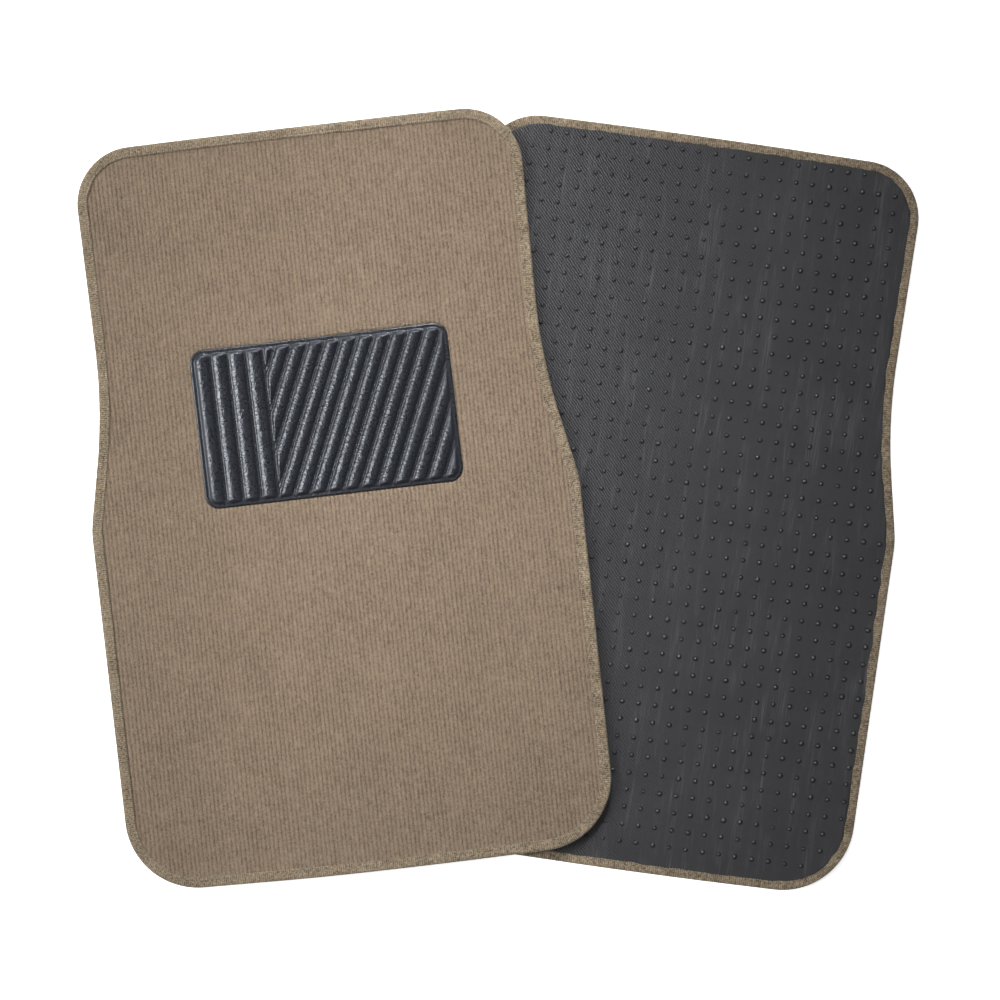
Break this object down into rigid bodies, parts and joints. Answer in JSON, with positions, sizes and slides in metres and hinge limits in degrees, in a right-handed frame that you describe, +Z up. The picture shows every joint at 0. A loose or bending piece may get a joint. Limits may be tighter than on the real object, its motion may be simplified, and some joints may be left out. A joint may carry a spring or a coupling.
{
  "type": "floor mat set",
  "caption": "Pair of carpeted vehicle floor mats, one face up with a ribbed heel pad and one face down with a nibbed rubber back, overlapping.",
  "frame": {"origin": "on the floor, under the middle of the set's bounding box", "axes": "+Z up, +Y towards the mats' narrow front ends, +X from the face-up mat towards the face-down mat"},
  "size_m": [0.772, 0.716, 0.0153],
  "materials": {
    "carpet_pile": "matte",
    "binding_tape": "matte",
    "sewing_thread": "satin",
    "primary_backing": "matte",
    "rubber_backing": "matte",
    "pad_vinyl": "satin",
    "pad_foam": "matte"
  },
  "bodies": {
    "lower_mat": {"lower_mat_backing": "rubber_backing", "lower_mat_primary_backing": "primary_backing", "lower_mat_carpet": "carpet_pile", "lower_mat_heel_pad_foam": "pad_foam", "lower_mat_heel_pad_cover": "pad_vinyl", "lower_mat_binding_tape": "binding_tape", "lower_mat_binding_needle_thread": "sewing_thread", "lower_mat_binding_bobbin_thread": "sewing_thread"},
    "upper_mat": {"upper_mat_backing": "rubber_backing", "upper_mat_primary_backing": "primary_backing", "upper_mat_carpet": "carpet_pile", "upper_mat_heel_pad_foam": "pad_foam", "upper_mat_heel_pad_cover": "pad_vinyl", "upper_mat_binding_tape": "binding_tape", "upper_mat_binding_needle_thread": "sewing_thread", "upper_mat_binding_bobbin_thread": "sewing_thread"}
  },
  "joints": [
    {"name": "upper_mat_lift", "type": "slide", "parent": "lower_mat", "child": "upper_mat", "axis": [0, 0, 1], "range_m": [0, 0.1]}
  ]
}
